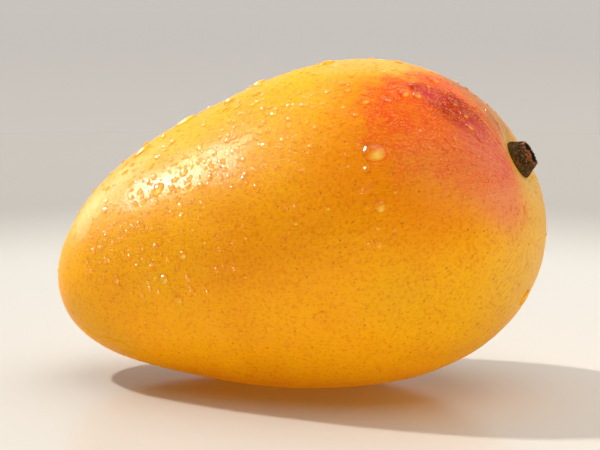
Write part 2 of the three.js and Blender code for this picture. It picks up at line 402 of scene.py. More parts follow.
class Skin:
    """The fine skin as a grid of points with their normals, and places found on it."""

    def __init__(self, s):
        self.camera = Camera()
        share = np.linspace(0, 1, SECTIONS + 1)
        turn = np.linspace(0, 2 * np.pi, SIDES, endpoint=False)
        self.share, turn = np.meshgrid(share, turn, indexing="ij")
        smooth = skin_points(self.share, turn)
        self.normals = facing(smooth)
        self.smooth = self.points = smooth
        self.crease = self.found(CREASE_PLACES)
        height = s.dapple / MM * waves(smooth, DAPPLE_WAVES, DAPPLE_SEED)
        height += self.crease_height(smooth, s.crease / MM)
        self.points = smooth + height[..., None] * self.normals
        self.points[..., 2] = np.maximum(self.points[..., 2], 0)
        self.points[0], self.points[-1] = self.points[0].mean(0), self.points[-1].mean(0)
        self.normals = facing(self.points)

    def crease_height(self, points, depth):
        """A shallow furrow along the crease line, with a low ridge under it: two bells of the
        distance from the line."""
        away = points[..., None, :] - self.crease
        nearest = np.linalg.norm(away, axis=-1).min(-1)
        under = np.linalg.norm(away + [0, 0, RIDGE_DROP], axis=-1).min(-1)
        return depth * (RIDGE_SHARE * bell(under, RIDGE_RADIUS) - bell(nearest, CREASE_RADIUS))

    def at_pixel(self, across, down):
        """The point of the skin seen at a pixel, and its normal there: where the camera's ray
        meets the tangent plane of the nearest grid point on the near side."""
        points, normals = self.points.reshape(-1, 3), self.normals.reshape(-1, 3)
        to_camera = unit(self.camera.place - points)
        open_side = (to_camera * normals).sum(-1) > NEAR_SIDE
        off = np.linalg.norm(self.camera.sees(points) - [across, down], axis=-1)
        best = int(np.argmin(np.where(open_side, off, np.inf)))
        point, normal = points[best], normals[best]
        ray = self.camera.ray(across, down)
        slope = ray @ normal
        if slope < -OPEN_VIEW:
            reach = ((point - self.camera.place) @ normal) / slope
            point = self.camera.place + reach * ray
        return point, normal

    def found(self, places):
        """The skin points of some pixels."""
        return np.array([self.at_pixel(p[0], p[1])[0] for p in places])

    def grain(self):
        """Where each point lies in the skin's grain: on a roller round the line between the two
        ends of the fibres, at the point's own turn round that line and distance along it."""
        start, end = self.found(GRAIN_ENDS)
        axis = unit(end - start)
        away = self.smooth - start
        along = (away @ axis)[..., None]
        side = unit(np.cross(axis, [0, 0, 1]))
        outwards = unit(away - along * axis)
        turned = outwards @ np.stack([side, np.cross(axis, side)], -1)
        return np.concatenate([GRAIN_RADIUS * turned, along], -1)

    def spread(self, places, extra=()):
        """A mask over the grid: the sum of bells round some pixels' points, and round extra
        points (x, y, z, reach) that the camera doesn't see, up to 1."""
        centres = [(*point, p[2]) for point, p in zip(self.found(places), places)]
        mask = np.zeros(self.share.shape)
        for x, y, z, reach in [*centres, *extra]:
            mask += bell(np.linalg.norm(self.smooth - [x, y, z], axis=-1), reach)
        return 1 - np.exp(-FILL_RATE * mask)


def grid_faces(rows, columns):
    """Quads between the rows of a grid that closes round its columns."""
    row, column = np.meshgrid(np.arange(rows - 1), np.arange(columns), indexing="ij")
    here, beside = row * columns + column, row * columns + (column + 1) % columns
    return np.stack([here, beside, beside + columns, here + columns], -1).reshape(-1, 4)


def grid_fans(rows, columns):
    """Triangles from a grid's first and last row to the two points that are kept after it."""
    column = np.arange(columns)
    beside, last = (column + 1) % columns, (rows - 1) * columns
    start, end = np.full(columns, rows * columns), np.full(columns, rows * columns + 1)
    low = np.stack([start, beside, column], -1)
    high = np.stack([end, last + column, last + beside], -1)
    return np.concatenate([low, high])


def with_poles(rings, first, last):
    """Values of a grid in the order of its mesh's points: the rings, then the two poles."""
    return np.concatenate([rings.reshape(-1, *rings.shape[2:]), [first], [last]])


def closed_mesh(name, rings, start, end):
    """A mesh in metres from rings of points (row, column, xyz), closed at both ends by a fan to
    the start and end points. Faces are turned outwards by the sign of the enclosed volume."""
    points = with_poles(rings, start, end) * MM
    quads, fans = grid_faces(*rings.shape[:2]), grid_fans(*rings.shape[:2])
    halves = np.concatenate([quads[:, [0, 1, 2]], quads[:, [0, 2, 3]], fans])
    a, b, c = (points[halves[:, k]] for k in range(3))
    if (a * np.cross(b, c)).sum() < 0:
        quads, fans = quads[:, ::-1], fans[:, ::-1]
    return mesh_from(name, points, quads, fans)


def mesh_from(name, points, quads, triangles):
    """A smooth-shaded mesh object at the origin, from arrays."""
    mesh = bpy.data.meshes.new(name)
    loops = np.concatenate([quads.ravel(), triangles.ravel()]).astype(np.int32)
    totals = np.concatenate([np.full(len(quads), 4), np.full(len(triangles), 3)])
    starts = np.concatenate([[0], np.cumsum(totals)[:-1]]).astype(np.int32)
    mesh.vertices.add(len(points))
    mesh.vertices.foreach_set("co", points.astype(np.float32).ravel())
    mesh.loops.add(len(loops))
    mesh.loops.foreach_set("vertex_index", loops)
    mesh.polygons.add(len(totals))
    mesh.polygons.foreach_set("loop_start", starts)
    mesh.polygons.foreach_set("use_smooth", np.ones(len(totals), bool))
    mesh.update(calc_edges=True)
    mesh.validate()
    made = bpy.data.objects.new(name, mesh)
    bpy.context.scene.collection.objects.link(made)
    return made


def keep_values(piece, name, values):
    """Stores one number or one vector for each vertex, under a name that the material reads."""
    kind, field = ("FLOAT_VECTOR", "vector") if values.ndim == 2 else ("FLOAT", "value")
    store = piece.data.attributes.new(name, kind, "POINT")
    store.data.foreach_set(field, values.astype(np.float32).ravel())


# ---- Materials ----

SMOOTH = {"interpolation_type": "SMOOTHSTEP"}  # carries a value softly between two ranges


def add(tree, kind, inputs=(), out=0, **settings):
    """Adds a node with its settings and links, and gives one of its outputs. Inputs are values or
    sockets, in order or under their name or number."""
    made = tree.nodes.new("ShaderNode" + kind)
    for key, value in settings.items():
        setattr(made, key, value)
    for key, value in (inputs if isinstance(inputs, dict) else dict(enumerate(inputs))).items():
        socket = made.inputs[key]
        if isinstance(value, bpy.types.NodeSocket):
            tree.links.new(value, socket)
        else:
            socket.default_value = (*value, 1) if socket.type == "RGBA" else value
    return made.outputs[out] if made.outputs else None


def new_material(name):
    """An empty node material, and add() for its tree."""
    material = bpy.data.materials.new(name)
    material.use_nodes = True
    material.node_tree.nodes.clear()
    return material, partial(add, material.node_tree)


def mango_skin(s):
    """Ripe mango skin: a thin waxy cuticle over coloured flesh. To the eye it is a deep amber that
    glows a little, brushed from stem to apex with fine pale and dark fibres, blushed red on the
    sunny shoulder, speckled with small dark pores, and satin where the wax catches the light."""
    material, node = new_material("mango_skin")
    place = node("TexCoord", out="Object")
    grain = node("Attribute", out="Vector", attribute_name="grain")
    names = (*SKIN_COLOURS, "combed", "lime", "drop_light")
    mask = {name: node("Attribute", out="Fac", attribute_name=name) for name in names}
    per_mm = 1 / MM

    # Along the grain, in repeats for each mm: fibres 0.5 mm wide, coarse ones 1.8 mm wide, and the
    # strands by the stem, 0.9 mm wide. With no direction: mottling of 0.8 mm, patches of 4.5 mm,
    # clouds of 16 mm, and the grains of the wax, 0.5 mm apart.
    fibre, coarse, strand, mottle, patch, cloud, beads = (
        node(
            "TexNoise",
            {
                "Vector": node("Mapping", {"Vector": over, "Scale": repeats}),
                "Scale": 1.0,
                "Detail": detail,
                "Roughness": rough,
            },
            "Fac",
        )
        for over, repeats, detail, rough in (
            (grain, (2.0, 2.0, 0.8), 3.0, 0.65),
            (grain, (0.55, 0.55, 0.16), 3.0, 0.6),
            (grain, (1.1, 1.1, 0.13), 2.0, 0.6),
            (place, (per_mm / 0.8,) * 3, 3.0, 0.65),
            (place, (per_mm / 4.5,) * 3, 3.0, 0.6),
            (place, (per_mm / 16,) * 3, 2.0, 0.5),
            (place, (per_mm / 0.5,) * 3, 2.0, 0.5),
        )
    )
    # pale grains, 0.35 mm across and 0.6 mm apart, and faint pores: dark specks up to 0.5 mm
    # across and 2.4 mm apart
    grains, pores = (
        node("TexVoronoi", {"Vector": place, "Scale": per_mm / spacing}, "Distance")
        for spacing in (0.6, 2.4)
    )

    # the blush and its crimson streaks break up in soft patches, and a little along the fibres
    broken = {"blush": mask["blush"], "crimson": mask["crimson"]}
    for name, pattern, low, high in (
        ("blush", coarse, -0.14, 0.1),
        ("blush", patch, -0.22, 0.16),
        ("blush", mottle, -0.12, 0.1),
        ("crimson", fibre, -0.2, 0.1),
        ("crimson", patch, -0.15, 0.1),
    ):
        shift = node("MapRange", (pattern, 0.3, 0.7, low, high), **SMOOTH)
        broken[name] = node("Math", (broken[name], shift), operation="ADD")

    # Shares that a pattern breaks up: the deeper orange band, which is partly painted core shade,
    # the stem's pale strands, the light and dark fibres, which show most beside the stem, and the
    # pale grains, which show most in the blush. Over the blush the light painted under a drop is
    # a little weaker.
    fibrous = node("MapRange", (mask["straw"], 0.1, 0.9, 0.3, 0.75), **SMOOTH)
    grainy = node("MapRange", (mask["blush"], 0.0, 0.8, 0.22, 0.42), **SMOOTH)
    rust, combed, light, dark, shown, glow = (
        node("Math", (share, node("MapRange", carried, **SMOOTH)), operation="MULTIPLY")
        for share, carried in (
            (mask["rust"], (coarse, 0.2, 0.7, 0.6, 1.0)),
            (mask["combed"], (strand, 0.48, 0.62)),
            (fibrous, (fibre, 0.5, 0.72)),
            (fibrous, (fibre, 0.5, 0.28)),
            (grainy, (patch, 0.35, 0.62, 0.25, 1.0)),
            (mask["drop_light"], (mask["blush"], 0.2, 0.9, 1.0, 0.75)),
        )
    )
    cloudy, blush, crimson, fleck, grained, speck, painted_caustic, painted_drop_shade = (
        node("MapRange", carried, **SMOOTH)
        for carried in (
            (cloud, 0.35, 0.65),
            (broken["blush"], 0.05, 1.0),
            (broken["crimson"], 0.15, 0.8),
            (mottle, 0.52, 0.3, 0.0, 0.5),
            (grains, 0.5, 0.28),
            (pores, 0.12, 0.05, 0.0, 0.6),
            # the painted pool of light under a drop, and the painted shade beside it
            (glow, 0.0, 1.0, 0.0, 0.9),
            (glow, 0.0, -1.0, 0.0, 0.45),
        )
    )
    pale = node("Math", (grained, shown), operation="MULTIPLY")

    # the colours in the order that they are laid on; the dark tint multiplies what it covers: it
    # darkens fibres and mottling, and in the last layer it paints the shade under the drops
    base = node("Mix", {0: cloudy, 6: s.amber, 7: s.gold}, 2, data_type="RGBA")
    for name, share in (
        ("rust", rust),
        ("orange", mask["orange"]),
        # pale yellow by the stem, with painted sheen along the right and top edges
        ("straw", mask["straw"]),
        ("rose", mask["rose"]),
        ("blush", blush),
        ("crimson", crimson),
        ("pink", mask["pink"]),
        ("tan", mask["tan"]),
        ("salmon", mask["salmon"]),
        ("lime", mask["lime"]),
        # green at the apex, and painted shade low on the right front
        ("olive", mask["olive"]),
        ("strand", combed),
        ("fibre", light),
        ("shade", dark),
        ("shade", fleck),
        ("fleck", pale),
        ("pore", speck),
        # painted light, then painted shade, under the drops
        ("painted_caustic", painted_caustic),
        ("shade", painted_drop_shade),
    ):
        layers = {0: share, 6: base, 7: getattr(s, name)}
        mode = "MULTIPLY" if name == "shade" else "MIX"
        base = node("Mix", layers, 2, data_type="RGBA", blend_type=mode)

    # Fibres and mottling stand up and pores sink in. The wax glints grain by grain. It has no
    # glint where water covers it, so a ray that came through a drop sees none.
    relief = node("Math", (mottle, 1.6, fibre), operation="MULTIPLY_ADD")
    relief = node("Math", (speck, -0.8, relief), operation="MULTIPLY_ADD")
    bump, wax = (
        node("Bump", {"Height": height, "Distance": distance, "Strength": 1.0})
        for height, distance in ((relief, s.relief), (beads, s.beads))
    )
    through_water = node("LightPath", out="Is Transmission Ray")
    shader = node(
        "BsdfPrincipled",
        {
            "Base Color": base,
            "Roughness": node("MapRange", (fibre, 0.3, 0.7, 0.34, 0.5), **SMOOTH),
            "IOR": 1.45,
            "Specular IOR Level": 0.05,
            "Subsurface Weight": 0.25,
            "Subsurface Radius": (1.0, 0.35, 0.08),
            "Subsurface Scale": s.glow,
            "Coat Weight": node("MapRange", (through_water, 0.0, 1.0, s.wax, 0.0), **SMOOTH),
            "Coat Roughness": 0.22,
            "Coat Normal": wax,
            "Normal": bump,
        },
    )
    node("OutputMaterial", {"Surface": shader})
    return material


def pore_cork(s):
    """Cork that plugs a pore of the skin: a dull reddish-brown dot with crumbs of 0.15 mm."""
    material, node = new_material("pore_cork")
    place = node("TexCoord", out="Object")
    crumb = node("TexNoise", {"Vector": place, "Scale": 1 / (0.15 * MM), "Detail": 2.0}, "Fac")
    share = node("MapRange", (crumb, 0.3, 0.7), **SMOOTH)
    base = node("Mix", {0: share, 6: s.cork, 7: s.pale}, 2, data_type="RGBA")
    surface = {"Base Color": base, "Roughness": 0.7, "Specular IOR Level": 0.1}
    node("OutputMaterial", {"Surface": node("BsdfPrincipled", surface)})
    return material


def stem_bark(s):
    """Dried mango stem, snapped off: fibrous bark that has gone dark brown. It gives the eye a
    rough dull stub with grey-brown ridges, an ochre foot, a pale torn edge and a near-black ring
    round rusty pith."""
    material, node = new_material("stem_bark")
    place = node("TexCoord", out="Object")
    grain = node("Attribute", out="Vector", attribute_name="grain")
    mask = {name: node("Attribute", out="Fac", attribute_name=name) for name in STUB_MASKS}
    per_mm = 1 / MM

    # fibres 0.4 mm wide along the stem, in repeats for each mm; crumbs of 0.5 mm, lumps of 1.1 mm
    fibre, crumb, lump = (
        node(
            "TexNoise",
            {
                "Vector": node("Mapping", {"Vector": over, "Scale": repeats}),
                "Scale": 1.0,
                "Detail": detail,
                "Roughness": rough,
            },
            "Fac",
        )
        for over, repeats, detail, rough in (
            (grain, (2.6, 2.6, 0.8), 4.0, 0.65),
            (place, (per_mm / 0.5,) * 3, 4.0, 0.7),
            (place, (per_mm / 1.1,) * 3, 3.0, 0.65),
        )
    )
    fibrous, rusty, hollow, pale, crumbly, torn, rough = (
        node("MapRange", carried, **SMOOTH)
        for carried in (
            (fibre, 0.35, 0.7),
            (lump, 0.52, 0.66, 0.0, 0.85),
            (crumb, 0.56, 0.38, 0.0, 0.9),
            (crumb, 0.6, 0.7, 0.0, 0.8),
            (crumb, 0.3, 0.7, -0.3, 0.2),
            (fibre, 0.35, 0.6),
            (crumb, 0.3, 0.7, 0.65, 0.9),
        )
    )
    collar = node("Math", (mask["foot"], crumbly), operation="ADD")
    base = node("Mix", {0: fibrous, 6: s.bark, 7: s.ridge}, 2, data_type="RGBA")
    for share, over in (
        (rusty, s.rust),
        (hollow, s.hollow),
        (pale, s.speck),
        (node("MapRange", (collar, 0.3, 0.9, 0.0, 0.28), **SMOOTH), s.foot),
        (node("Math", (mask["edge"], torn), operation="MULTIPLY"), s.edge),
        (mask["ring"], s.ring),
        (mask["pith"], s.pith),
    ):
        base = node("Mix", {0: share, 6: base, 7: over}, 2, data_type="RGBA")
    relief = node("Math", (fibre, crumb), operation="ADD")
    shader = node(
        "BsdfPrincipled",
        {
            "Base Color": base,
            "Roughness": rough,
            "Specular IOR Level": 0.15,
            "Normal": node("Bump", {"Height": relief, "Distance": s.relief, "Strength": 1.0}),
        },
    )
    node("OutputMaterial", {"Surface": shader})
    return material


def clear_water(s):
    """Clean water, colourless apart from the rim, perfectly smooth, IOR 1.333. It shows the skin
    under it through its own lens and a bright point of the sun. Its darker rim is painted shade:
    a darker orange tint laid on near the rim. Light that reaches the skin passes straight through,
    so the skin under a drop is lit."""
    material, node = new_material("clear_water")
    place = node("TexCoord", out="Object")
    # a ripple every 2 mm, just enough to bend a reflection
    ripple = node("TexNoise", {"Vector": place, "Scale": 1 / (2 * MM), "Detail": 1.0}, "Fac")
    # painted shade: the water is tinted darker orange near a drop's rim
    near_rim = node("Attribute", out="Fac", attribute_name="rim")
    rim = node("MapRange", (near_rim, 0.15, 0.7), **SMOOTH)
    water = node(
        "BsdfPrincipled",
        {
            "Base Color": node("Mix", {0: rim, 6: (1, 1, 1), 7: s.rim}, 2, data_type="RGBA"),
            "Roughness": 0.0,
            "IOR": 1.333,
            "Transmission Weight": 1.0,
            "Normal": node("Bump", {"Height": ripple, "Distance": s.ripple, "Strength": 0.5}),
        },
    )
    shadow, diffuse = (node("LightPath", out=f"Is {ray} Ray") for ray in ("Shadow", "Diffuse"))
    lighting = node("Math", (shadow, diffuse), operation="MAXIMUM")
    clear = node("BsdfTransparent")
    node("OutputMaterial", {"Surface": node("MixShader", (lighting, water, clear))})
    return material


def studio_ground(s):
    """Honed pale stone, plain and a little glossy: warm white round the fruit, and greyer where it
    runs away behind, so the fruit's outline stands clear."""
    material, node = new_material("studio_ground")
    place = node("TexCoord", out="Object")
    away = node("VectorMath", (place,), "Value", operation="LENGTH")
    share = node("MapRange", (away, s.clearing, s.far), **SMOOTH)
    base = node("Mix", {0: share, 6: s.near_colour, 7: s.far_colour}, 2, data_type="RGBA")
    surface = {"Base Color": base, "Roughness": 0.2, "Specular IOR Level": 0.1}
    node("OutputMaterial", {"Surface": node("BsdfPrincipled", surface)})
    return material


# ---- Settings ----


class MangoStageSettings(bpy.types.PropertyGroup):
    near_colour: colour("Floor", "A6A4A1", "Floor round the fruit")
    far_colour: colour("Far floor", "7E7B77", "Floor far behind the fruit")
    clearing: length("Pale floor radius", 170, "Where the pale floor begins to turn grey")
    far: length("Grey floor radius", 330, "Where the floor is grey")
    sun_power: power("Sun", 2.25, "Strength of the main light")
    sun_spread: bpy.props.FloatProperty(
        name="Sun spread",
        description="Width of the main light",
        default=np.radians(3.0),
        subtype="ANGLE",
    )
    window_power: power("Window", 25, "Each pane of the window that glints in the wax")
    glow_power: power("Glow", 6.5, "Bright haze round the sun, which glosses the skin's edge")
    haze_power: power("Haze", 2.1, "Paler light that glosses the shoulder by the stem")
    sky_power: power("Sky", 6.25, "Soft light from above")
    floor_sun_power: power("Sun on the floor", 3.6, "Strength of the main light on the floor")
    floor_sky_power: power("Sky on the floor", 18.5, "Soft light from above on the floor")
    fill_power: power("Fill", 6.7, "Soft light from the front")
    bounce_power: power("Bounce", 4.0, "Light that the floor throws up on the belly")
    through_power: power("Through", 0.0115, "Light that the flesh lets through to the floor")
    drop_sky_power: power("Sky in the drops", 7.0, "Soft light that only the drops reflect")
    spark_power: power("Spark", 22, "Light that only sparkles in the drops")
    room_colour: colour("Room colour", "FFFAF4", "Colour of the room's light")
    room: power("Room", 0.9, "Brightness of the room behind")
    room_dim: power("Dim side", 0.04, "Brightness of the room on the camera's side")


class MangoFruitSettings(bpy.types.PropertyGroup):
    amber: colour("Amber", "F4AC05", "Main skin colour")
    gold: colour("Gold", "F9B606", "Lighter clouds in the skin")
    # partly painted core shade across the middle of the cheek
    rust: colour("Rust", "ED9606", "Deeper orange on the cheek")
    orange: colour("Orange", "EC7C06", "Orange that the blush fades into")
    salmon: colour("Salmon", "F49C50", "Paler patches in the blush")
    blush: colour("Blush", "EA521E", "Red of the sunny shoulder")
    crimson: colour("Crimson", "B4120A", "Darkest streaks of the blush")
    pink: colour("Pink", "E0485A", "Pink streak beside the stem")
    tan: colour("Tan", "A65A3E", "Dull skin on the shoulder's far side")
    rose: colour("Rose", "EE8660", "Pink towards the stem")
    # also a painted sheen along the right and top edges
    straw: colour("Straw", "EFBA55", "Pale yellow beside the stem")
    lime: colour("Lime", "E2AC28", "Yellow-green of the stem basin")
    # also painted shade low on the right front
    olive: colour("Olive", "D6A70C", "Dull green at the apex and low by the stem")
    strand: colour("Strands", "F4D68C", "Pale strands combed out from the stem")
    fibre: colour("Pale fibres", "FCC31C", "Pale streaks from stem to apex")
    fleck: colour("Flecks", "F8AA48", "Pale grains, most of them in the blush")
    # also the painted shade under the drops
    shade: colour("Dark fibres", "DCA468", "Tint that darkens the streaks between")
    pore: colour("Pores", "8A4A12", "Small dark specks")
    # painted light: the bright pool that a drop focuses on the skin
    painted_caustic: colour("Gathered light", "FFE560", "Skin that a drop gathers light on")
    dapple: length("Dapple", 0.16, "Height of the gentle unevenness")
    crease: length("Crease", 0.45, "Depth of the crease by the apex")
    relief: length("Relief", 0.05, "Height of fibres and pores")
    beads: length("Beads", 0.06, "Height of the grains in the wax")
    glow: length("Glow", 1.6, "How far light spreads inside the skin")
    wax: bpy.props.FloatProperty(
        name="Wax", description="How much the wax shines", default=0.17, min=0, max=1
    )


class MangoPoreSettings(bpy.types.PropertyGroup):
    cork: colour("Cork", "A04C0E", "Dark brown of a pore")
    pale: colour("Pale cork", "CC7C22", "Lighter crumbs in it")
    size: length("Size", 0.36, "Width of a pore")
    seed: bpy.props.IntProperty(name="Seed", description="How the pores' sizes vary", default=4)


class MangoStubSettings(bpy.types.PropertyGroup):
    bark: colour("Bark", "3E2612", "Dark brown bark")
    ridge: colour("Ridges", "64502E", "Grey-brown fibres that stand out")
    rust: colour("Rust", "8A4A0C", "Rusty patches")
    hollow: colour("Hollows", "180C04", "Nearly black between them")
    speck: colour("Specks", "C2A284", "Pale crumbs")
    foot: colour("Foot", "6E5A20", "Ochre collar where the bark meets the skin")
    edge: colour("Torn edge", "A8683A", "Pale line where the stem snapped")
    ring: colour("Ring", "0A0502", "Sunk ring inside the bark")
    pith: colour("Pith", "9A5218", "Rusty middle")
    relief: length("Relief", 0.12, "Height of fibres and crumbs")
    roughness: length("Unevenness", 0.16, "Height of the bark's lumps")
    flare: length("Flare", 0.1, "How far the bark spreads at its foot")


class MangoDropSettings(bpy.types.PropertyGroup):
    fine: bpy.props.IntProperty(
        name="Fine drops", description="How many small drops", default=1500, min=0
    )
    seed: bpy.props.IntProperty(name="Seed", description="Where the small drops fall", default=7)
    sunk: length("Sunk", 0.12, "How far a drop's rim goes under the skin")
    # painted shade: the tint that darkens each drop near its rim
    rim: colour("Rim", "EDA21C", "Tint of a drop's rim")
    ripple: length("Ripple", 0.02, "Height of the ripple in the water")


# ---- Pieces ----


def drop_frames(skin):
    """The larger drops: centres, normals, directions of their length and breadth, and half sizes.
    A drop's lean is turned from the picture to the skin under it."""
    rows = []
    for across, down, width, ratio, lean in LARGE_DROPS:
        point, normal = skin.at_pixel(across, down)
        turn = np.radians(lean)
        wanted = skin.camera.right * np.cos(turn) + skin.camera.up * np.sin(turn)
        long_way = unit(wanted - (wanted @ normal) * normal)
        scale = np.linalg.norm(point - skin.camera.place) / skin.camera.pixels
        half = 0.5 * width * scale
        rows.append((point, normal, long_way, np.cross(normal, long_way), half * ratio, half))
    return [np.array(column) for column in zip(*rows)]


def drop_light(skin):
    """How drops change the light on the skin under them, as a mask that paints it into the
    skin's colour. A drop bends the sun's light to its far side, where a pool of light is painted,
    while painted shade dims the near side and a painted shadow lies where the drop casts one. Each
    is a bell of the distance from a point on the line through the drop's middle to the sun."""
    sun = unit(np.array(SUN_TOWARDS))
    light = np.zeros(skin.share.shape)
    for centre, normal, long_way, cross_way, half_long, half_wide in zip(*drop_frames(skin)):
        away = skin.points - centre
        near = np.linalg.norm(away, axis=-1) < DROP_BELLS_END * half_long
        u, v = away[near] @ long_way / half_long, away[near] @ cross_way / half_wide
        flat_sun = sun - (sun @ normal) * normal
        sun_u, sun_v = unit(np.array([flat_sun @ long_way, flat_sun @ cross_way]))
        for strength, off, reach in DROP_BELLS:
            light[near] += strength * bell(np.hypot(u + off * sun_u, v + off * sun_v), reach)
    return np.clip(light, -1, 1)


def domes(frames, heights, facets, sunk, rng):
    """Drops as closed domes: points in metres, quads, triangles, and how near each point is to
    the rim. A dome is a cap over an uneven oval: the ring at an angle e, from none at the rim to a
    quarter turn at the top, is cos(e) to the power DOME_POWER of the rim wide and sin(e) of the
    height high, less the fall of the skin's curve. The rim goes straight down into the skin and is
    closed by a flat foot."""
    centres, normals, long_ways, cross_ways, longs, widths = frames
    (rings, sides), count = facets, len(centres)
    e = np.linspace(0, np.pi / 2, rings + 1)[:-1]
    turn = np.linspace(0, 2 * np.pi, sides, endpoint=False)
    phase = rng.uniform(0, 2 * np.pi, (2, count, 1))
    twice, thrice = RIM_STRAYS
    uneven = 1 + twice * np.sin(2 * turn + phase[0]) + thrice * np.sin(3 * turn + phase[1])
    spread = np.concatenate([[1.0], np.cos(e) ** DOME_POWER])[None, :, None]
    u = spread * uneven[:, None, :] * np.cos(turn) * longs[:, None, None]
    v = spread * uneven[:, None, :] * np.sin(turn) * widths[:, None, None]
    up = np.concatenate([[0.0], np.sin(e)])[None, :, None] * heights[:, None, None]
    up = up - (u**2 + v**2) / (2 * SKIN_CURVE)
    up[:, 0, :] -= sunk
    points = centres[:, None, None, :] + sum(
        size[..., None] * way[:, None, None, :]
        for size, way in ((u, long_ways), (v, cross_ways), (up, normals))
    )
    tops = centres + heights[:, None] * normals
    feet = centres - (sunk + longs**2 / (4 * SKIN_CURVE))[:, None] * normals

    rows = rings + 1
    each = np.arange(count)[:, None, None] * (rows * sides + 2)
    corners = np.concatenate([points.reshape(count, -1, 3), feet[:, None], tops[:, None]], 1)
    quads = (grid_faces(rows, sides) + each).reshape(-1, 4)
    fans = (grid_fans(rows, sides) + each).reshape(-1, 3)
    by_ring = np.repeat(np.concatenate([[1.0], 1 - np.sin(e)]), sides)
    return corners.reshape(-1, 3) * MM, quads, fans, np.tile([*by_ring, 1.0, 0.0], count)


def scattered(skin, count, rng):
    """Random places for the fine drops on the grid, by area and by how thickly they lie: bells
    round MIST_PLACES, and a thin fall over every part that faces the sky."""
    along = np.linalg.norm(np.gradient(skin.points, axis=0), axis=-1)
    round_way = np.linalg.norm(np.roll(skin.points, -1, 1) - skin.points, axis=-1)
    thick = THIN_FALL * np.clip(skin.normals[..., 2] + THIN_FALL_TILT, 0, 1)
    for (_, _, reach, weight), point in zip(MIST_PLACES, skin.found(MIST_PLACES)):
        thick += weight * bell(np.linalg.norm(skin.points - point, axis=-1), reach)
    weight = (along * round_way * thick).ravel()
    weight[: DRY_ROWS * SIDES] = 0
    return rng.choice(weight.size, count, replace=False, p=weight / weight.sum())


def stub_form(s):
    """The stub as grids of radius, turn and height: the profile with its corners rounded, carried
    round. Ridges, a sine of the turn, and lumps, waves drawn out along the stem, swell the bark;
    it flares towards its foot, and its crumbs lift it a little too."""
    steps = np.concatenate([[0], np.cumsum(np.hypot(*np.diff(STUB_PROFILE, axis=0).T))])
    even = np.linspace(0, steps[-1], STUB_STEPS)
    lines = [np.interp(even, steps, column) for column in STUB_PROFILE.T]
    for line in lines:
        line[2:-2] = np.convolve(line, STUB_SOFTENING, "valid")
    turn = np.linspace(0, 2 * np.pi, STUB_SIDES, endpoint=False)
    radius, turn = np.meshgrid(lines[0][1:-1], turn, indexing="ij")
    height = np.repeat(lines[1][1:-1, None], STUB_SIDES, 1)
    rise = np.clip((height - BARK_RIDGE_START) / BARK_RIDGE_RUN, 0, 1)
    ridge = BARK_RIDGE_HEIGHT * rise * np.sin(BARK_RIDGES * turn)
    local = np.stack([radius * np.cos(turn), height, -radius * np.sin(turn)], -1)
    lumps = waves(local * LUMP_SQUEEZE, LUMP_WAVES, LUMP_SEED)
    crumbs = waves(local, CRUMB_WAVES, CRUMB_SEED)

    uneven = s.roughness / MM * np.clip((height - BARK_START) / BARK_RUN, 0, 1)
    flare = s.flare / MM * np.clip((FLARE_END - height) / FLARE_RUN, 0, 1)
    swell = np.where(radius > RIM_RADIUS, ridge, 0) + uneven * (LUMP_SHARE * lumps + crumbs)
    swell += flare * (height > FLARE_START)
    radius = np.maximum(radius + swell * np.clip(radius / SWELL_RADIUS, 0, 1), LEAST_RADIUS)
    return radius, turn, height + CRUMB_LIFT * uneven * crumbs * (radius < CRUMB_RADIUS)


def lamps(s):
    """The lamps: name, kind, direction and distance from the heart in metres, width and height in
    metres (a width in radians for a sun, a radius for a point), power, colour, whether matt and
    glossy surfaces see it, the group of pieces that it lights, and the group that shades it. The
    panes, the glow, the haze, the spark and the sky in the drops only glint; the bounce is light
    that the floor throws up; the floor has its own share of sun and sky, and the flesh lets a
    little light through to the floor in two places."""
    white, warm, amber, honey = "FFFAF0", "F6CF92", "FFA63C", "FFBA74"
    matt, glossy = (True, False), (False, True)
    every, dry, wet, floor = "pieces", "dry_pieces", "wet_pieces", "ground"
    lit, on_floor = (white, matt, dry, dry), (white, matt, floor, None)
    shine, sparkle = (white, glossy, dry, dry), (white, glossy, wet, wet)
    sun, through = (s.sun_spread, 0), s.through_power
    upper_power = s.window_power / 4.5  # the upper pane is the fainter one
    right_power = 2.4 * through  # this one stands further from the floor that it lights
    return (
        ("sun", "SUN", SUN_TOWARDS, 1, sun, s.sun_power, white, matt, every, every),
        ("sky", "AREA", SKY_TOWARDS, 1, (1.1, 1.1), s.sky_power, white, matt, every, None),
        ("upper_pane", "AREA", UPPER_PANE_TOWARDS, 1, (0.12, 0.045), upper_power, *shine),
        ("lower_pane", "AREA", LOWER_PANE_TOWARDS, 1, (0.24, 0.07), s.window_power, *shine),
        ("glow", "AREA", GLOW_TOWARDS, 1, (0.55, 0.45), s.glow_power, *shine),
        ("haze", "AREA", HAZE_TOWARDS, 1, (0.7, 0.5), s.haze_power, *shine),
        ("fill", "AREA", FILL_TOWARDS, 1, (0.8, 0.8), s.fill_power, *lit),
        ("bounce", "AREA", BOUNCE_TOWARDS, 1, (0.9, 0.9), s.bounce_power, warm, matt, dry, dry),
        ("spark", "SUN", UPPER_PANE_TOWARDS, 1, (0.5, 0), s.spark_power, *sparkle),
        ("drop_sky", "AREA", DROP_SKY_TOWARDS, 1, (1, 1), s.drop_sky_power, *sparkle),
        ("floor_sun", "SUN", SUN_TOWARDS, 1, sun, s.floor_sun_power, *on_floor),
        ("floor_sky", "AREA", FLOOR_SKY_TOWARDS, 1, (1.3, 1.3), s.floor_sky_power, *on_floor),
        ("through_left", "POINT", THROUGH_LEFT_TOWARDS, 0.022, (0.02, 0), through, amber, matt,
         floor, floor),
        ("through_right", "POINT", THROUGH_RIGHT_TOWARDS, 0.045, (0.02, 0), right_power, honey,
         matt, floor, floor),
    )  # fmt: skip


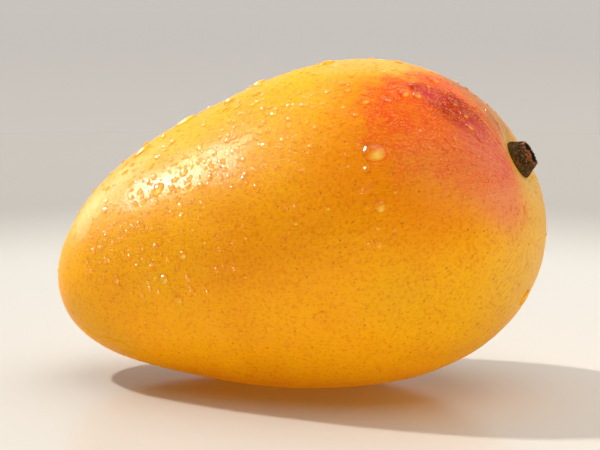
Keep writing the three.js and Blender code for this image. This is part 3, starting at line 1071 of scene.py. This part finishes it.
def group(name):
    """A collection that lamps are tied to, made when it is first asked for."""
    return bpy.data.collections.get(name) or bpy.data.collections.new(name)


def dress(piece, material, *groups):
    """Gives a piece its material, and puts it in the groups that lamps are tied to."""
    piece.data.materials.append(material)
    for name in groups:
        group(name).objects.link(piece)


def stand(context, name, data, place, way):
    """Puts a lamp or the camera at a place in metres, its back along a direction and its top up."""
    held = bpy.data.objects.new(name, data)
    held.location = place
    held.rotation_mode = "QUATERNION"
    held.rotation_quaternion = Vector(way).to_track_quat("Z", "Y")
    context.scene.collection.objects.link(held)
    return held


def hang(context, name, kind, way, distance, size, strength, code, seen, lit, shading):
    """Hangs a lamp at a distance from the heart, facing it."""
    lamp = bpy.data.lights.new(name, kind)
    if kind == "SUN":
        lamp.angle = size[0]
    elif kind == "POINT":
        lamp.shadow_soft_size = size[0]
    else:
        lamp.shape, lamp.size, lamp.size_y = "RECTANGLE", *size
    lamp.energy, lamp.color = strength, linear(code)
    held = stand(context, name, lamp, HEART * MM + distance * unit(np.array(way)), way)
    held.visible_camera = False
    held.visible_diffuse, held.visible_glossy = seen
    held.light_linking.receiver_collection = group(lit)
    if shading:
        held.light_linking.blocker_collection = group(shading)


class MANGO_OT_stage(bpy.types.Operator):
    """Lays the floor and sets the lights and the camera"""

    bl_idname = "mango.stage"
    bl_label = "Set the stage"

    def execute(self, context):
        s = context.scene.mango_stage
        corners = FLOOR_HALF * np.array([(-1, -1, 0), (1, -1, 0), (1, 1, 0), (-1, 1, 0)])
        floor = mesh_from("floor", corners, np.array([[0, 1, 2, 3]]), np.zeros((0, 3), int))
        dress(floor, studio_ground(s), "ground")

        for lamp in lamps(s):
            hang(context, *lamp)

        world = bpy.data.worlds.new("studio")
        context.scene.world = world
        world.use_nodes = True
        world.node_tree.nodes.clear()
        node = partial(add, world.node_tree)
        way = node("TexCoord", out="Generated")
        behind = node("VectorMath", (way, BRIGHT_TOWARDS), "Value", operation="DOT_PRODUCT")
        strength = node("MapRange", (behind, -0.1, 0.9, s.room_dim, s.room), **SMOOTH)
        light = node("Background", {"Color": s.room_colour, "Strength": strength})
        node("OutputWorld", {"Surface": light})

        camera = bpy.data.cameras.new("camera")
        camera.lens, camera.sensor_width = CAMERA_LENS, CAMERA_SENSOR
        camera.clip_start, camera.clip_end = CAMERA_CLIP
        eye = Camera()
        context.scene.camera = stand(context, "camera", camera, eye.place * MM, eye.towards)
        context.scene.view_settings.view_transform = "Standard"
        context.scene.cycles.caustics_reflective = False
        context.scene.cycles.caustics_refractive = False
        return {"FINISHED"}


class MANGO_OT_fruit(bpy.types.Operator):
    """Grows the fruit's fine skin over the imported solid"""

    bl_idname = "mango.fruit"
    bl_label = "Grow the fruit"

    def execute(self, context):
        s = context.scene.mango_fruit
        skin = Skin(s)
        rings = skin.points[1:-1]
        fruit = closed_mesh("fruit_skin", rings, skin.points[0, 0], skin.points[-1, 0])

        axis = stem_axis()
        away = skin.smooth - HEART - STEM_FOOT
        off_stem = np.linalg.norm(away - (away @ axis)[..., None] * axis, axis=-1)
        near_stem = off_stem + np.where(away[..., 0] < STEM_END_FROM, np.inf, 0)
        masks = {
            name: strength * skin.spread(places, FAR_SIDE.get(name, ()))
            for name, (strength, places) in SKIN_COLOURS.items()
        }
        masks["combed"] = COMBED_SHARE * bell(near_stem, COMBED_REACH)
        masks["lime"] = bell(np.maximum(near_stem - LIME_FROM, 0), LIME_REACH)
        # painted light and shade under the larger drops
        masks["drop_light"] = drop_light(skin)
        masks["grain"] = skin.grain()
        for name, values in masks.items():
            keep_values(fruit, name, with_poles(values[1:-1], values[0, 0], values[-1, 0]))
        dress(fruit, mango_skin(s), "pieces", "dry_pieces")
        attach(fruit, ROOT)
        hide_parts("mango_fruit")
        return {"FINISHED"}


class MANGO_OT_pores(bpy.types.Operator):
    """Sets the clearest pores in the skin"""

    bl_idname = "mango.pores"
    bl_label = "Set the pores"

    def execute(self, context):
        s = context.scene.mango_pores
        skin = Skin(context.scene.mango_fruit)
        rng = np.random.default_rng(s.seed)
        centres, normals = (np.array(c) for c in zip(*(skin.at_pixel(*p) for p in PORES)))
        long_ways = unit(np.cross(normals, unit(rng.normal(size=normals.shape))))
        halves = s.size / MM / 2 * rng.uniform(*PORE_VARIES, len(PORES))
        cross_ways = np.cross(normals, long_ways)
        frames = (centres, normals, long_ways, cross_ways, PORE_RATIO * halves, halves)
        heights = np.full(len(PORES), PORE_RISE)
        *parts, _ = domes(frames, heights, PORE_FACETS, PORE_SUNK, rng)
        pores = mesh_from("pores", *parts)
        dress(pores, pore_cork(s), "pieces", "dry_pieces")
        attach(pores, ROOT)
        return {"FINISHED"}


class MANGO_OT_stub(bpy.types.Operator):
    """Turns the woody stub of the stem"""

    bl_idname = "mango.stub"
    bl_label = "Turn the stub"

    def execute(self, context):
        s = context.scene.mango_stub
        radius, turn, height = stub_form(s)

        # The turned form stands along +Y; one turn about the pivot lays it along the stem.
        axis = stem_axis()
        pivot = unit(np.cross([0, 1, 0], axis))
        level = np.cross(pivot, [0, 1, 0])
        spin = np.outer(pivot, pivot) + np.outer(level, np.cross(pivot, axis))
        flat = np.stack([radius * np.cos(turn), 0 * turn, -radius * np.sin(turn)], -1)
        foot = HEART + STEM_FOOT
        points = flat @ spin + height[..., None] * axis + foot
        low, high = STUB_PROFILE[0, 1], STUB_PROFILE[-1, 1]
        stub = closed_mesh("stem_bark", points, foot + low * axis, foot + high * axis)

        # The masks, with their values at the root's middle and at the pith's: the collar at the
        # foot, the pale torn rim, the sunk ring inside it, and the pith.
        rolled = STUB_GRAIN_RADIUS * np.stack([np.cos(turn), np.sin(turn)], -1)
        grain = np.concatenate([rolled, height[..., None]], -1)
        top = np.clip((height - TOP_START) / TOP_RUN, 0, 1)
        masks = {
            "grain": (grain, (0, 0, low), (0, 0, high)),
            "foot": (bell(np.maximum(height - COLLAR_HEIGHT, 0), COLLAR_FADE), 1, 0),
            "edge": (top * bell(radius - EDGE_RADIUS, EDGE_WIDTH), 0, 0),
            "ring": (top * np.clip((RING_RADIUS - radius) / RING_FADE, 0, 1), 0, 1),
            "pith": (top * np.clip((PITH_RADIUS - radius) / PITH_FADE, 0, 1), 0, 1),
        }
        for name, values in masks.items():
            keep_values(stub, name, with_poles(*values))
        dress(stub, stem_bark(s), "pieces", "dry_pieces")
        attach(stub, ROOT)
        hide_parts("stem_stub")
        return {"FINISHED"}


class MANGO_OT_drops(bpy.types.Operator):
    """Scatters the water drops over the skin"""

    bl_idname = "mango.drops"
    bl_label = "Scatter the drops"

    def execute(self, context):
        s = context.scene.mango_drops
        skin = Skin(context.scene.mango_fruit)
        rng = np.random.default_rng(s.seed)

        frames = drop_frames(skin)
        widths = frames[-1]
        heights = np.where(widths > WIDE_FROM, WIDE_RISE, SMALL_RISE) * widths
        heights *= rng.uniform(*LARGE_VARIES, len(widths))
        *parts, rim = domes(frames, heights, LARGE_FACETS, s.sunk / MM, rng)
        large = mesh_from("water_drops", *parts)
        # how near each point is to the rim, where the water's tint paints shade
        keep_values(large, "rim", rim)

        chosen = scattered(skin, s.fine, rng)
        centres, normals = (grid.reshape(-1, 3)[chosen] for grid in (skin.points, skin.normals))
        widths = rng.lognormal(np.log(FINE_HALF), FINE_SPREAD, s.fine).clip(*FINE_LIMITS)
        long_ways = unit(np.cross(normals, unit(rng.normal(size=normals.shape))))
        heights = widths * rng.uniform(*FINE_RISES, s.fine)
        longs = widths * rng.uniform(*FINE_RATIOS, s.fine)
        frames = (centres, normals, long_ways, np.cross(normals, long_ways), longs, widths)
        *parts, rim = domes(frames, heights, FINE_FACETS, FINE_SUNK, rng)
        mist = mesh_from("water_mist", *parts)
        keep_values(mist, "rim", rim)

        water = clear_water(s)
        for piece in (large, mist):
            dress(piece, water, "pieces", "wet_pieces")
            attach(piece, ROOT)
        return {"FINISHED"}


class MANGO_PT_panel(bpy.types.Panel):
    """Sizes and colours of the mango, and the buttons that build it"""

    bl_idname = "MANGO_PT_panel"
    bl_label = "Ripe mango"
    bl_space_type = "VIEW_3D"
    bl_region_type = "UI"
    bl_category = "Mango"

    def draw(self, context):
        for operator, settings, name in STEPS:
            box = self.layout.box()
            box.operator(operator.bl_idname)
            for setting in settings.__annotations__:
                box.prop(getattr(context.scene, name), setting)


# The steps in their order: each operator, its settings, and the name that they are kept under.
STEPS = (
    (MANGO_OT_stage, MangoStageSettings, "mango_stage"),
    (MANGO_OT_fruit, MangoFruitSettings, "mango_fruit"),
    (MANGO_OT_pores, MangoPoreSettings, "mango_pores"),
    (MANGO_OT_stub, MangoStubSettings, "mango_stub"),
    (MANGO_OT_drops, MangoDropSettings, "mango_drops"),
)


def register():
    for operator, settings, name in STEPS:
        bpy.utils.register_class(settings)
        setattr(bpy.types.Scene, name, bpy.props.PointerProperty(type=settings))
        bpy.utils.register_class(operator)
    bpy.utils.register_class(MANGO_PT_panel)


def unregister():
    bpy.utils.unregister_class(MANGO_PT_panel)
    for operator, settings, name in reversed(STEPS):
        bpy.utils.unregister_class(operator)
        delattr(bpy.types.Scene, name)
        bpy.utils.unregister_class(settings)


def main():
    register()
    bpy.ops.mango.stage()
    bpy.ops.mango.fruit()
    bpy.ops.mango.pores()
    bpy.ops.mango.stub()
    bpy.ops.mango.drops()


if __name__ == "__main__":
    main()
